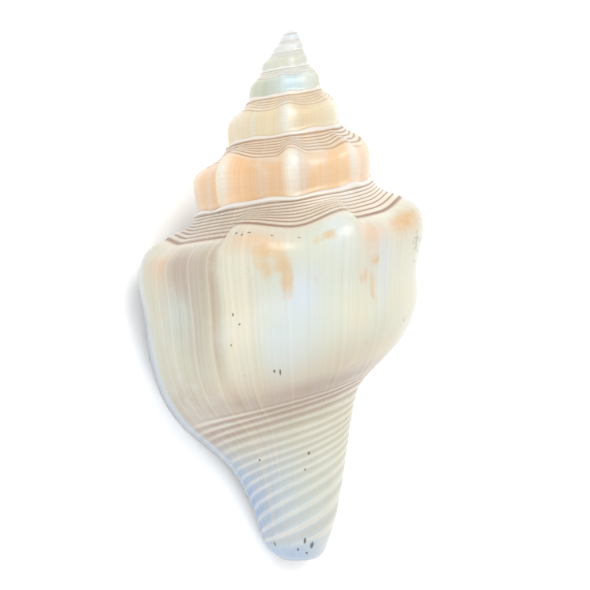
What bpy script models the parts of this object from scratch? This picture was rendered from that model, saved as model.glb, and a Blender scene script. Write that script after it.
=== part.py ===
"""Knobbed conch shell, one grown piece.

A sea snail builds its shell by adding to the lip of the opening, while the lip turns about one axis
and keeps growing, so every whorl is the one before it, turned once and enlarged. The solid is made
in the same way. An outline that runs from the seam with the whorl above, over the shoulder and down
to the canal is extruded a few degrees at a time from the apex to the lip, rolled round the lip, and
led back inside as the inner face of the wall. The whorl before it shows inside the opening.

The shell grows with its axis on Y, the apex near the origin, the canal towards -Y, the back up (+Z)
and the lip on -X. It is then turned into the pose in which it lies still, with +Z up.
"""
import math

import bmesh
import bpy
from mathutils import Matrix, Vector

MM = 0.001

# growth
GROWTH_PER_TURN = 1.55      # how much bigger each whorl is than the one before it
WHORLS = 6.75               # turns from the apex to the lip
STEPS_PER_TURN = 32
CANAL_TURNS = 0.75          # how far back from the lip the hollow reaches down into the canal
HOLLOW_TURNS = 1.75         # how far back the hollow runs inside the whorls
LIP_AZIMUTH = 181.0         # degrees round the axis at which the lip stands
APEX_DEPTH = 2.1            # the worn tip of the spire, mm below the point where growth began
SPIRE_BEND = 1.2            # mm by which the spire stands off the axis,
BEND_FROM = 13.0            # most at this depth
BEND_TO = 56.0              # and not at all from this depth on

# wall of the last whorl, mm
LIP_WALL = 1.3
INNER_WALL = 2.2
WALL_GROWS_OVER = 0.06      # turns behind the lip over which the wall gains its thickness
LIP_FLARE = 0.9             # how far the last edge turns outward
FLARE_TURNS = 0.0175
LIP_STEPS = 2               # extrusions round the lip's edge
PILLAR_GAP = 0.3            # what is left of the hollow beside the pillar, where it ends

# outline of the whorl at the lip, mm: distance from the axis, depth below the apex, and how far a
# knob pushes that place out and up. The next whorl sits on row SEAM_ROW.
LIP_OUTLINE = (
    (24.9, 50.4, 0.0, 0.0),
    (26.7, 53.3, 0.1, 0.3),
    (28.9, 56.2, 0.6, 1.4),
    (32.6, 59.0, 1.6, 2.7),
    (37.6, 62.0, 2.3, 2.8),
    (39.9, 66.6, 2.3, 1.2),
    (38.4, 78.1, 1.9, 0.0),
    (36.9, 89.3, 1.2, 0.0),
    (33.9, 99.4, 0.5, 0.0),
    (29.3, 106.9, 0.0, 0.0),
    (23.5, 112.2, 0.0, 0.0),
    (18.2, 117.3, 0.0, 0.0),
    (14.7, 122.8, 0.0, 0.0),
    (11.7, 129.5, 0.0, 0.0),
    (9.7, 136.0, 0.0, 0.0),
    (8.1, 139.2, 0.0, 0.0),
    (5.2, 141.6, 0.0, 0.0),
)
SEAM_ROW = 6
# the rows after SEAM_ROW half a turn and a whole turn before the lip: the base draws in to a canal
# that keeps its length while the whorls above it shrink
HALF_TURN_BACK = (
    (30.9, 72.3), (28.6, 80.2), (24.8, 84.9), (20.2, 88.9), (16.6, 94.3),
    (14.5, 102.4), (12.8, 114.0), (10.7, 127.5), (7.5, 138.8), (5.9, 141.5),
)
FULL_TURN_BACK = (
    (23.9, 57.6), (21.6, 64.0), (17.8, 69.6), (13.6, 74.6), (10.4, 81.5),
    (8.4, 91.0), (7.2, 104.0), (6.0, 120.0), (3.9, 134.0), (2.6, 139.0),
)
BASE_ROW = 11               # the lowest row of the hollow, where it no longer reaches the canal
PILLAR_ROWS = (11, 13)      # between these rows the shrinking whorl gives way to the pillar
CLOSING_TURNS = 0.35        # turns over which the hollow draws up out of the canal

# knobs near the lip: degrees back from it, strength, and the half widths towards the lip and away
KNOBS = [(11, 0.6, 16, 20), (63, 1.0, 14, 36), (110, 1.15, 22, 15), (165, 1.0, 28, 26)]
# knobs further back: degrees, strength; after the last of them they come evenly and are worn
UPPER_KNOBS = (
    (211, 0.9), (259, 1.0), (306, 0.9), (352, 0.25), (397, 0.85), (449, 1.1), (500, 1.0), (546, 0.65),
    (597, 0.9), (645, 0.7), (680, 0.6), (715, 0.3), (757, 0.8), (809, 1.0), (865, 0.7), (912, 0.7),
    (960, 0.7), (1008, 0.7), (1056, 0.6), (1108, 0.7), (1162, 0.8), (1203, 0.8), (1250, 0.5),
)
KNOB_SPACING = 48
WORN_STRENGTH = 0.55
KNOB_HALF_WIDTH = 25        # degrees
KNOB_SHARPNESS = 1.6
KNOBS += [(back, strength, KNOB_HALF_WIDTH, KNOB_HALF_WIDTH) for back, strength in UPPER_KNOBS]
while KNOBS[-1][0] < 360 * WHORLS:
    KNOBS.append((KNOBS[-1][0] + KNOB_SPACING, WORN_STRENGTH, KNOB_HALF_WIDTH, KNOB_HALF_WIDTH))

# where along the outline the solid has its vertices, in rows: down to the seam, and below it
ROWS_TO_SEAM = [0.6 * i for i in range(11)]
ROWS_BELOW = [6.2, 6.4, 7.0, 7.7, 8.4, 9.1, 9.8, 10.4, 11.0, 12.0, 12.8, 13.6, 14.4, 15.2, 16.0]

# resting pose: it lies on its belly, its lip and its canal
REST_ROLL = -27.0           # degrees about the shell's own axis
REST_TIP = 16.3             # degrees by which the apex is then raised
REST_WEAR = 0.25            # mm worn flat where it touches
WELD = 0.001                # mm, the distance within which two vertices are one


def growth(turn):
    return GROWTH_PER_TURN ** turn


def ease(value, start, end):
    """0 up to start, 1 from end, and smooth between."""
    f = max(0.0, min(1.0, (value - start) / (end - start)))
    return f * f * (3 - 2 * f)


def knob_height(turn):
    """0 between knobs, about 1 on the crest of one."""
    total = 0.0
    for centre, strength, lip_side, old_side in KNOBS:
        away = -360 * turn - centre
        away /= old_side if away > 0 else lip_side
        if abs(away) < 1:
            total += strength * (0.5 + 0.5 * math.cos(math.pi * away)) ** KNOB_SHARPNESS
    return total


def between(lip, half, full, halves_back, slope_full):
    """Smooth curve through the three measured outlines; slope_full is its slope at the last one."""
    slope_half = (full - lip) / 2
    slope_lip = 2 * (half - lip) - slope_half
    if halves_back < 1:
        a, b, da, db, f = lip, half, slope_lip, slope_half, halves_back
    else:
        a, b, da, db, f = half, full, slope_half, slope_full, halves_back - 1
    return (a * (1 - f) ** 2 * (1 + 2 * f) + b * f * f * (3 - 2 * f)
            + da * f * (1 - f) ** 2 - db * f * f * (1 - f))


def row_point(row, turn):
    """(distance from the axis, depth) of one row of the outline at a turn; 0 is the lip."""
    out, depth, knob_out, knob_up = LIP_OUTLINE[row]
    if row <= SEAM_ROW:
        knob = knob_height(turn)
        out += knob_out * knob
        depth -= knob_up * knob
        return out * growth(turn), depth * growth(turn)
    half = HALF_TURN_BACK[row - SEAM_ROW - 1]
    full = FULL_TURN_BACK[row - SEAM_ROW - 1]
    low, high = PILLAR_ROWS
    pillar = min(1.0, max(0.0, (row - low) / (high - low)))
    if turn < -1:
        scale = growth(turn + 1) ** (1 - pillar)
        return full[0] * scale, full[1] * scale
    knob = knob_height(turn) * growth(turn)
    slope = -0.5 * math.log(GROWTH_PER_TURN) * (1 - pillar)
    place = []
    for axis in (0, 1):
        lip = LIP_OUTLINE[row][axis]
        place.append(between(lip, half[axis], full[axis], -2 * turn, slope * full[axis]))
    return place[0] + knob_out * knob, place[1] - knob_up * knob


def outline(turn, rows):
    """Points of the outline at a turn, on a Catmull-Rom curve through its rows."""
    points = [Vector(row_point(row, turn)) for row in range(len(LIP_OUTLINE))]
    in_first_whorl = turn < 1 - WHORLS - 0.5 / STEPS_PER_TURN
    if in_first_whorl:
        points[0] = Vector((0.0, APEX_DEPTH))
    else:
        points[0] = Vector(row_point(SEAM_ROW, turn - 1))
    points = [2 * points[0] - points[1]] + points + [2 * points[-1] - points[-2]]
    curve = []
    for row in rows:
        i = min(int(row), len(LIP_OUTLINE) - 2)
        f = row - i
        p0, p1, p2, p3 = points[i:i + 4]
        curve.append(0.5 * (2 * p1 + (p2 - p0) * f + (2 * p0 - 5 * p1 + 4 * p2 - p3) * f * f
                            + (3 * p1 - p0 - 3 * p2 + p3) * f ** 3))
    return curve


def outer_points(turn, rows):
    """The outline with the lip's flare."""
    curve = outline(turn, rows)
    flare = LIP_FLARE * max(0.0, 1 + turn / FLARE_TURNS) ** 2
    for point, row in zip(curve, rows):
        fade = max(0.0, min(1.0, (row - 2) / 2, (len(LIP_OUTLINE) - 2 - row) / 2))
        point.x += flare * fade
    return curve


def inner_points(turn, rows, corner_index):
    """The inner face of the wall. It starts in the corner with the whorl before, and deep inside it
    ends on the pillar, because there the hollow no longer reaches the canal."""
    outer = outer_points(turn, rows)
    before = outer_points(turn - 1, rows)
    wall = LIP_WALL + (INNER_WALL - LIP_WALL) * min(1.0, -turn / WALL_GROWS_OVER)
    wall *= growth(min(0.0, turn + CANAL_TURNS))
    closing = ease(-turn, CANAL_TURNS - CLOSING_TURNS, CANAL_TURNS)
    corner = before[corner_index]
    foot = before[rows.index(BASE_ROW)]
    curve = []
    for i, point in enumerate(outer):
        along = outer[min(i + 1, len(outer) - 1)] - outer[max(i - 1, 0)]
        inward = Vector((-along.y, along.x)).normalized()
        spot = point + inward * wall
        to_corner = max(0.0, 1 - rows[i] / 2) ** 2
        spot = spot.lerp(corner, to_corner)
        if rows[i] <= BASE_ROW:
            to_foot = max(0.0, (rows[i] - SEAM_ROW) / (BASE_ROW - SEAM_ROW)) ** 2
            spot = spot.lerp(foot, to_foot * closing)
        else:
            spot = spot.lerp(before[i] + Vector((PILLAR_GAP, 0)), closing)
        curve.append(spot)
    curve[0] = corner.copy()
    return curve


def place(turn, point):
    """A point of the outline in space, metres."""
    azimuth = math.radians(LIP_AZIMUTH - 360 * turn)
    out, depth = point
    bend = SPIRE_BEND * (ease(depth, BEND_FROM, BEND_TO) - 1) * ease(depth, APEX_DEPTH, BEND_FROM)
    return Vector((out * math.cos(azimuth) + bend, -depth, -out * math.sin(azimuth))) * MM


def forward(turn):
    """The direction of growth."""
    azimuth = math.radians(LIP_AZIMUTH - 360 * turn)
    return Vector((math.sin(azimuth), 0, math.cos(azimuth)))


def new_chain(bm, places):
    verts = [bm.verts.new(p) for p in places]
    for a, b in zip(verts, verts[1:]):
        bm.edges.new((a, b))
    return verts


def grow(bm, chain, places):
    """Extrude a chain of vertices once, and move the new chain to its places."""
    edges = [bm.edges.get(pair) for pair in zip(chain, chain[1:])]
    made = bmesh.ops.extrude_edge_only(bm, edges=edges)["geom"]
    fresh = {item for item in made if isinstance(item, bmesh.types.BMVert)}
    following = []
    for vert, spot in zip(chain, places):
        twin = next(e.other_vert(vert) for e in vert.link_edges if e.other_vert(vert) in fresh)
        twin.co = spot
        following.append(twin)
    return following


def join_chains(bm, chain, other):
    edges = [bm.edges.get(pair) for pair in zip(chain, chain[1:])]
    edges += [bm.edges.get(pair) for pair in zip(other, other[1:])]
    bmesh.ops.bridge_loops(bm, edges=edges)


def turns_between(start, end):
    """The turns after start up to end, one extrusion apart."""
    count = round(abs(end - start) * STEPS_PER_TURN)
    return [start + (end - start) * (i + 1) / count for i in range(count)]


def shell_mesh():
    bm = bmesh.new()
    all_rows = ROWS_TO_SEAM + ROWS_BELOW
    seam = len(ROWS_TO_SEAM) - 1
    corner = seam + LIP_STEPS
    foot = all_rows.index(BASE_ROW)

    # the spire and the visible whorls, down to the seam
    spire = new_chain(bm, [place(-WHORLS, p) for p in outer_points(-WHORLS, ROWS_TO_SEAM)])
    for turn in turns_between(-WHORLS, -1):
        spire = grow(bm, spire, [place(turn, p) for p in outer_points(turn, ROWS_TO_SEAM)])

    # the far side of the hollow: the whorl before, and from where the canal opens its pillar too
    deep = -1 - HOLLOW_TURNS
    canal = -1 - CANAL_TURNS
    side_rows = all_rows[corner:foot + 1]
    deep_side = new_chain(bm, [place(deep, p) for p in outer_points(deep, side_rows)])
    side = deep_side
    for turn in turns_between(deep, canal):
        side = grow(bm, side, [place(turn, p) for p in outer_points(turn, side_rows)])
    canal_rows = all_rows[foot + 1:]
    canal_side = new_chain(bm, [place(canal, p) for p in outer_points(canal, canal_rows)])
    canal_side.insert(0, side[-1])
    bm.edges.new(canal_side[:2])
    pillar = side[:-1] + canal_side
    for turn in turns_between(canal, -1):
        pillar = grow(bm, pillar, [place(turn, p) for p in outer_points(turn, all_rows[corner:])])

    # join the two chains and grow the whole outline to the lip
    joint = outer_points(-1, all_rows)[seam + 1:corner]
    middle = [bm.verts.new(place(-1, p)) for p in joint]
    bridge = [spire[-1]] + middle + [pillar[0]]
    for a, b in zip(bridge, bridge[1:]):
        bm.edges.new((a, b))
    ring = spire + middle + pillar
    bottom_edge = [ring[-1]]
    for turn in turns_between(-1, 0):
        ring = grow(bm, ring, [place(turn, p) for p in outer_points(turn, all_rows)])
        bottom_edge.append(ring[-1])

    # round the lip
    behind = outer_points(-1, all_rows)
    outside = outer_points(0, all_rows)
    inside = inner_points(0, all_rows, corner)
    for step in range(1, LIP_STEPS + 1):
        angle = math.pi * step / LIP_STEPS
        spots = []
        for a, b in zip(outside, inside):
            middle_point = (a + b) / 2
            half_wall = (a - b).length / 2 * MM
            spot = place(0, middle_point + (a - middle_point) * math.cos(angle))
            spots.append(spot + forward(0) * half_wall * math.sin(angle))
        spots[0] = place(0, behind[seam + step])
        ring = grow(bm, ring, spots)

    # back inside, first down to the canal and then only the whorl
    inner_bottom = [ring[-1]]
    for turn in turns_between(0, -CANAL_TURNS):
        ring = grow(bm, ring, [place(turn, p) for p in inner_points(turn, all_rows, corner)])
        inner_bottom.append(ring[-1])
    canal_end = ring[foot:]
    ring = ring[:foot + 1]
    for turn in turns_between(-CANAL_TURNS, -HOLLOW_TURNS):
        spots = inner_points(turn, all_rows, corner)[:foot + 1]
        ring = grow(bm, ring, [place(turn, p) for p in spots])

    # close the deep end of the hollow, the end of the canal and its rim, and what is left open
    join_chains(bm, deep_side, ring)
    join_chains(bm, canal_side, canal_end)
    join_chains(bm, bottom_edge[-len(inner_bottom):], inner_bottom)
    bmesh.ops.remove_doubles(bm, verts=bm.verts, dist=WELD * MM)
    open_edges = [edge for edge in bm.edges if edge.is_boundary]
    bmesh.ops.holes_fill(bm, edges=open_edges, sides=0)
    bmesh.ops.triangulate(bm, faces=bm.faces)
    bmesh.ops.recalc_face_normals(bm, faces=bm.faces)
    return bm


def shell_material():
    material = bpy.data.materials.new("shell")
    material.use_nodes = True
    surface = material.node_tree.nodes["Principled BSDF"]
    surface.inputs["Base Color"].default_value = (0.86, 0.76, 0.62, 1.0)
    surface.inputs["Roughness"].default_value = 0.35
    surface.inputs["Metallic"].default_value = 0.0
    return material


def lay_down(bm):
    """Turn the shell into the pose in which it rests, wear its contact places flat and set it on z=0."""
    turn = Matrix.Rotation(math.radians(REST_TIP), 4, "X")
    turn = turn @ Matrix.Rotation(math.radians(REST_ROLL), 4, "Y")
    bmesh.ops.transform(bm, matrix=turn, verts=bm.verts)
    floor = min(vert.co.z for vert in bm.verts) + REST_WEAR * MM
    everything = bm.verts[:] + bm.edges[:] + bm.faces[:]
    made = bmesh.ops.bisect_plane(bm, geom=everything, plane_co=(0, 0, floor), plane_no=(0, 0, -1),
                                  clear_outer=True)["geom_cut"]
    edges = [item for item in made if isinstance(item, bmesh.types.BMEdge)]
    bmesh.ops.holes_fill(bm, edges=edges, sides=0)
    bmesh.ops.triangulate(bm, faces=[face for face in bm.faces if len(face.verts) > 3])
    bmesh.ops.recalc_face_normals(bm, faces=bm.faces)
    low = Vector([min(vert.co[i] for vert in bm.verts) for i in range(3)])
    high = Vector([max(vert.co[i] for vert in bm.verts) for i in range(3)])
    middle = (low + high) / 2
    bmesh.ops.translate(bm, vec=(-middle.x, -middle.y, -low.z), verts=bm.verts)


def main():
    for obj in list(bpy.data.objects):
        bpy.data.objects.remove(obj, do_unlink=True)
    bm = shell_mesh()
    lay_down(bm)
    mesh = bpy.data.meshes.new("shell")
    bm.to_mesh(mesh)
    bm.free()
    mesh.shade_smooth()
    shell = bpy.data.objects.new("shell", mesh)
    mesh.materials.append(shell_material())
    bpy.context.scene.collection.objects.link(shell)
    print("shell:", len(mesh.polygons), "triangles")


main()
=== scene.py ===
# %% [markdown]
# # A knobbed conch shell
# A snail's shell is one piece that grew. The animal adds new shell only along the lip of the
# opening, the lip turns about one axis while it does so, and everything it adds is a little larger
# than what it added before. So the whole shape follows from one outline and one rule of growth.
# This lesson builds the shell by that rule, with one extrusion for each few degrees of growth, and
# then paints it with marks that follow the same growth.

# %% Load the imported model
import math

import bmesh
import bpy
import numpy as np
from mathutils import Matrix, Vector, noise


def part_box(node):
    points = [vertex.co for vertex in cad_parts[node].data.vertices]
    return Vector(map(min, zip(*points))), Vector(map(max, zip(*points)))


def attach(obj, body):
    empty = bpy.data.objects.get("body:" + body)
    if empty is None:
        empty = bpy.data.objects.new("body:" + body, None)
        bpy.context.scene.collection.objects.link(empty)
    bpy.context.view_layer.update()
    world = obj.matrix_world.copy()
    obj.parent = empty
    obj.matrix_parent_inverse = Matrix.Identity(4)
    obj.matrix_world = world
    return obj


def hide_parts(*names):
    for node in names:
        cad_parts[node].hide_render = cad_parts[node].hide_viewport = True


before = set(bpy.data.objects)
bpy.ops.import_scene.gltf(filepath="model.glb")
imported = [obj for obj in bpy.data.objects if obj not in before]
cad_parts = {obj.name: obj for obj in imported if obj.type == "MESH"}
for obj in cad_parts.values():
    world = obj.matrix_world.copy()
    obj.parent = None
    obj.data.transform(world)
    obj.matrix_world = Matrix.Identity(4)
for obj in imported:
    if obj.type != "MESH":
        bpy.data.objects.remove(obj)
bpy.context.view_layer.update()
low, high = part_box("shell")
print("the shell's box, mm:", [round(1000 * (b - a), 1) for a, b in zip(low, high)])

# %% [markdown]
# ## Two frames
# A loose shell lies mouth down on its belly, its lip and the end of its canal, which is a poor pose
# to model in. So we work in two frames. In the growth frame the axis is Y, with the apex near the
# origin and the back of the shell up, and all the shape is made there. The resting pose then rolls
# the shell about its own axis and raises the apex.
#
# The rule of growth is a single power: each turn makes everything 1.55 times as large. Places go
# round the axis as the turn goes on, which draws the spiral.

# %% The resting pose
MM = 0.001
REST_ROLL = -27.0           # degrees about the shell's own axis
REST_TIP = 16.3             # degrees by which the apex is then raised
rest = Matrix.Rotation(math.radians(REST_TIP), 4, "X") @ Matrix.Rotation(math.radians(REST_ROLL), 4, "Y")

# %% Growth
GROWTH_PER_TURN = 1.55      # how much bigger each whorl is than the one before it
WHORLS = 6.75               # turns from the apex to the lip
LIP_AZIMUTH = 181.0         # degrees round the axis at which the lip stands
APEX_DEPTH = 2.1            # the worn tip, mm below the point where growth began
SPIRE_BEND = 1.2            # mm by which the spire stands off the axis,
BEND_FROM = 13.0            # most at this depth
BEND_TO = 56.0              # and not at all from this depth on


def ease(value, start, end):
    """0 up to start, 1 from end, and smooth between."""
    f = np.clip((value - start) / (end - start), 0, 1)
    return f * f * (3 - 2 * f)


def growth(turn):
    """Size at a turn; the lip is turn 0 and the apex is turn -WHORLS."""
    return GROWTH_PER_TURN ** turn


def place(turn, points):
    """Outline points (distance from the axis, depth), mm, as places in the growth frame, metres."""
    azimuth = math.radians(LIP_AZIMUTH - 360 * turn)
    out, depth = points[:, 0], points[:, 1]
    bend = (ease(depth, BEND_FROM, BEND_TO) - 1) * ease(depth, APEX_DEPTH, BEND_FROM)
    across = out * math.cos(azimuth) + SPIRE_BEND * bend
    return np.column_stack([across, -depth, -out * math.sin(azimuth)]) * MM


def forward(turn):
    """The direction of growth at a turn."""
    azimuth = math.radians(LIP_AZIMUTH - 360 * turn)
    return np.array([math.sin(azimuth), 0.0, math.cos(azimuth)])


print("the first whorl against the last:", round(growth(-WHORLS), 3))

# %% [markdown]
# ## The outline of a whorl
# The outline runs from the seam with the whorl above, out over a sloping ramp to the shoulder, down
# the side, in at the base and along the canal. Seventeen rows are enough, because a
# Catmull-Rom curve runs smoothly through them. The upper rows only shrink as we go back in time.
# The canal keeps its length instead, so the lower rows have two more outlines, half a turn
# and a whole turn before the lip.

# %% Rows of the outline at the lip
# distance from the axis, depth below the apex, and how far a knob pushes the row out and up, mm
LIP_OUTLINE = np.array([
    (24.9, 50.4, 0.0, 0.0),
    (26.7, 53.3, 0.1, 0.3),
    (28.9, 56.2, 0.6, 1.4),
    (32.6, 59.0, 1.6, 2.7),
    (37.6, 62.0, 2.3, 2.8),
    (39.9, 66.6, 2.3, 1.2),
    (38.4, 78.1, 1.9, 0.0),
    (36.9, 89.3, 1.6, 0.0),
    (33.9, 99.4, 0.7, 0.0),
    (29.3, 106.9, 0.0, 0.0),
    (23.5, 112.2, 0.0, 0.0),
    (18.2, 117.3, 0.0, 0.0),
    (14.7, 122.8, 0.0, 0.0),
    (11.7, 129.5, 0.0, 0.0),
    (9.7, 136.0, 0.0, 0.0),
    (8.1, 139.2, 0.0, 0.0),
    (5.2, 141.6, 0.0, 0.0),
])
LAST_ROW = len(LIP_OUTLINE) - 1
SEAM_ROW = 6                # the next whorl sits on this row
print("rows in the outline:", len(LIP_OUTLINE))

# %% Rows below the seam, half a turn and a whole turn before the lip
HALF_TURN_BACK = np.array([
    (30.9, 72.3), (28.6, 80.2), (24.8, 84.9), (20.2, 88.9), (16.6, 94.3),
    (14.5, 102.4), (12.8, 114.0), (10.7, 127.5), (7.5, 138.8), (5.9, 141.5),
])
FULL_TURN_BACK = np.array([
    (23.9, 57.6), (21.6, 64.0), (17.8, 69.6), (13.6, 74.6), (10.4, 81.5),
    (8.4, 91.0), (7.2, 104.0), (6.0, 120.0), (3.9, 134.0), (2.6, 139.0),
])
BASE_ROW = 11               # the lowest row that the hollow keeps before it draws out of the canal
PILLAR_ROWS = (11, 13)      # between these rows the shrinking whorl gives way to the pillar
pillar = np.clip((np.arange(SEAM_ROW + 1, LAST_ROW + 1) - PILLAR_ROWS[0])
                 / (PILLAR_ROWS[1] - PILLAR_ROWS[0]), 0, 1)[:, None]


def lower_rows(turn):
    """The rows below the seam, which the last turn draws out into a canal."""
    full = FULL_TURN_BACK
    if turn < -1:
        return full * growth(turn + 1) ** (1 - pillar)
    lip = LIP_OUTLINE[SEAM_ROW + 1:, :2]
    slope_half = (full - lip) / 2
    slope_lip = 2 * (HALF_TURN_BACK - lip) - slope_half
    slope_full = -0.5 * math.log(GROWTH_PER_TURN) * (1 - pillar) * full
    halves = -2 * turn
    if halves < 1:
        a, b, slope_a, slope_b, f = lip, HALF_TURN_BACK, slope_lip, slope_half, halves
    else:
        a, b, slope_a, slope_b, f = HALF_TURN_BACK, full, slope_half, slope_full, halves - 1
    return (a * (1 - f) ** 2 * (1 + 2 * f) + b * f * f * (3 - 2 * f)
            + slope_a * f * (1 - f) ** 2 - slope_b * f * f * (1 - f))


# %% [markdown]
# ## Knobs
# The shoulder carries blunt knobs, seven or eight to a whorl. The animal makes one when its mantle
# bulges for a while, so a knob is a smooth swell in time. It pushes the shoulder rows out and up,
# and fades down the side as a low fold. Many rise steeply on one side and fall away gently on the
# other, so each has two half widths. The knobs of the last whorls are listed one by one, because no two
# are quite the same. On the first whorls they are worn, and an even spacing is close enough.

# %% Knobs
# degrees back from the lip, strength, and the half widths towards the lip and away from it, degrees
KNOBS = [(10, 0.75, 15, 17), (63, 1.1, 7.5, 38), (113.5, 1.15, 30, 11), (165, 1.0, 28, 26),
         (211, 0.9, 25, 25), (259, 1.0, 25, 25), (306, 0.9, 25, 25), (352, 0.3, 25, 20),
         (401, 1.1, 8, 30), (449, 1.15, 14, 16), (495, 1.0, 18, 16)]
# further up the knobs are plainer: degrees back from the lip, strength
UPPER_KNOBS = [(546, 0.65), (597, 0.9), (645, 0.7), (680, 0.6), (715, 0.3), (757, 0.8), (809, 1.0),
               (865, 0.7), (912, 0.7), (960, 0.7), (1008, 0.7), (1056, 0.6), (1108, 0.7), (1162, 0.8),
               (1203, 0.8), (1250, 0.5)]
KNOB_SPACING = 48           # degrees
KNOB_HALF_WIDTH = 25        # degrees
WORN_STRENGTH = 0.55
KNOB_SHARPNESS = 1.6        # 1 is a plain cosine swell, more is narrower at the crest
KNOBS += [(back, strength, KNOB_HALF_WIDTH, KNOB_HALF_WIDTH) for back, strength in UPPER_KNOBS]
while KNOBS[-1][0] < 360 * WHORLS:
    KNOBS.append((KNOBS[-1][0] + KNOB_SPACING, WORN_STRENGTH, KNOB_HALF_WIDTH, KNOB_HALF_WIDTH))
print("knobs on the shell:", len(KNOBS))


# %% How high the knob is at a turn
def knob_height(turn):
    """0 between knobs, about 1 on the crest of one."""
    total = 0.0
    for centre, strength, lip_side, old_side in KNOBS:
        away = -360 * turn - centre
        away /= old_side if away > 0 else lip_side
        if abs(away) < 1:
            total += strength * (0.5 + 0.5 * math.cos(math.pi * away)) ** KNOB_SHARPNESS
    return total


print("knob at the lip:", round(knob_height(0), 2))

# %% [markdown]
# ## From rows to a curve
# A Catmull-Rom curve passes through every row, and its slope gives the direction across the outline,
# which the relief needs later. Before that the rows are set for one moment of growth: shrunk, pushed
# out by the knob, and on the upper whorls sunk. There each ramp is worn down towards a straight line
# between its two seams, which makes the spire a cone with steps and not a stack of rounded rings.

# %% The curve through the rows


def through_rows(points, rows):
    """A Catmull-Rom curve through the outline's rows, and the unit vectors across it, outward."""
    ends = np.vstack([2 * points[0] - points[1], points, 2 * points[-1] - points[-2]])
    i = np.minimum(rows.astype(int), len(points) - 2)
    f = (rows - i)[:, None]
    p0, p1, p2, p3 = ends[i], ends[i + 1], ends[i + 2], ends[i + 3]
    slope, bend, twist = p2 - p0, 2 * p0 - 5 * p1 + 4 * p2 - p3, 3 * p1 - p0 - 3 * p2 + p3
    curve = 0.5 * (2 * p1 + slope * f + bend * f * f + twist * f ** 3)
    along = slope + 2 * bend * f + 3 * twist * f * f
    across = np.column_stack([along[:, 1], -along[:, 0]])
    return curve, across / np.linalg.norm(across, axis=1)[:, None]


# %% The rows at a turn
SINKING_AT = (1.0, 1.4, 2.4, 3.4, 4.4)      # turns back from the lip, and how far the rows have
SINKING = (0.0, 0.25, 0.5, 0.65, 0.95)      # sunk there to a straight line between the seams,
SINKING_ROWS = np.array([0.0, 1.0, 1.0, 1.0, 0.9, 0.6, 0.0])    # row by row


def rows_at(turn):
    """The outline's rows at a turn: distance from the axis and depth, mm."""
    points = np.zeros((LAST_ROW + 1, 2))
    knob = knob_height(turn) * growth(turn)
    points[:SEAM_ROW + 1] = LIP_OUTLINE[:SEAM_ROW + 1, :2] * growth(turn)
    points[SEAM_ROW + 1:] = lower_rows(turn)
    if turn >= -1:
        points[SEAM_ROW + 1:, 0] += LIP_OUTLINE[SEAM_ROW + 1:, 2] * knob
    points[:SEAM_ROW + 1, 0] += LIP_OUTLINE[:SEAM_ROW + 1, 2] * knob
    points[:SEAM_ROW + 1, 1] -= LIP_OUTLINE[:SEAM_ROW + 1, 3] * knob
    upper = points[:SEAM_ROW + 1]
    straight = np.interp(upper[:, 1], upper[[0, -1], 1], upper[[0, -1], 0])
    upper[:, 0] += (straight - upper[:, 0]) * SINKING_ROWS * np.interp(-turn, SINKING_AT, SINKING)
    return points


print("widest from the axis at the lip, mm:", round(rows_at(0)[:, 0].max(), 1))

# %% [markdown]
# ## Cords, growth lines and the seam
# Flat cords run round the ramp and, finer at first, round the base and the canal. Each is parted
# from the next by a narrow groove. A cord is a mark that stays at its place on the lip while the lip
# moves, so in our outline it is simply a row. On the canal the real cords climb faster than our
# rows do, so a small table shifts them. On the upper whorls fewer cords are worn clear, and they
# spread over the shoulder. Growth lines run the other way: they are former lips. All this is real
# relief, and it has to be in the mesh, because it shows at the edges.

# %% Grooves between the cords
# in rows; the cord along the seam is the widest
RAMP_GROOVES = [0.0, 0.62, 0.95, 1.28, 1.62, 1.95, 2.3, 2.7, 3.1]
BASE_START = 8.95
BASE_SPACING = 0.35
CANAL_SPACING = 0.43
base_grooves = [BASE_START + BASE_SPACING * i for i in range(5)]
canal_grooves = [base_grooves[-1] + CANAL_SPACING * (i + 1) for i in range(12)]
GROOVES = np.array(RAMP_GROOVES + base_grooves + canal_grooves)
# rows half a turn before the lip, and the rows at the lip that the same cords have there
CORDS_HALF_BACK = np.array([9.0, 10.0, 11.2, 11.8, 12.2, 12.7, 13.2, 13.7, 16.0])
CORDS_AT_LIP = np.array([8.4, 9.4, 10.0, 11.0, 12.0, 13.2, 14.0, 14.6, 16.0])
print("grooves on ramp, base and canal:", len(RAMP_GROOVES), len(base_grooves), len(canal_grooves))


def cord_rows(turn, rows):
    """The rows at the lip of the cords that run through these rows."""
    shift = min(1.0, -2 * turn)
    moved = np.interp(rows, CORDS_HALF_BACK, CORDS_AT_LIP) - rows
    return rows + np.where(rows > CORDS_HALF_BACK[0], moved, -0.6 * np.clip(rows - 8, 0, 1)) * shift


def spread(turn):
    """0 on the last whorl, and 1 where the cords spread over the shoulder."""
    return ease(-turn, 0.85, 1.6)


def cord_phase(turn, rows):
    """Counts the cords down the outline: a whole number lies in a groove."""
    spread_rows = cord_rows(turn, rows) * (1 - 0.5 * spread(turn))
    return np.interp(spread_rows, GROOVES, np.arange(len(GROOVES)))


# %% How deep the cords and the growth lines are
RAMP_DEPTH = 0.34           # mm on the last whorl
BASE_DEPTH = 0.28
CANAL_MORE = 0.02           # how much deeper the grooves of the canal are than those of the base
SEAM_CORD = 0.32            # how far the cord along the seam stands out
LINE_DEPTH = 0.07
LINES_PER_TURN = (19, 31, 53, 71)


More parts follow.
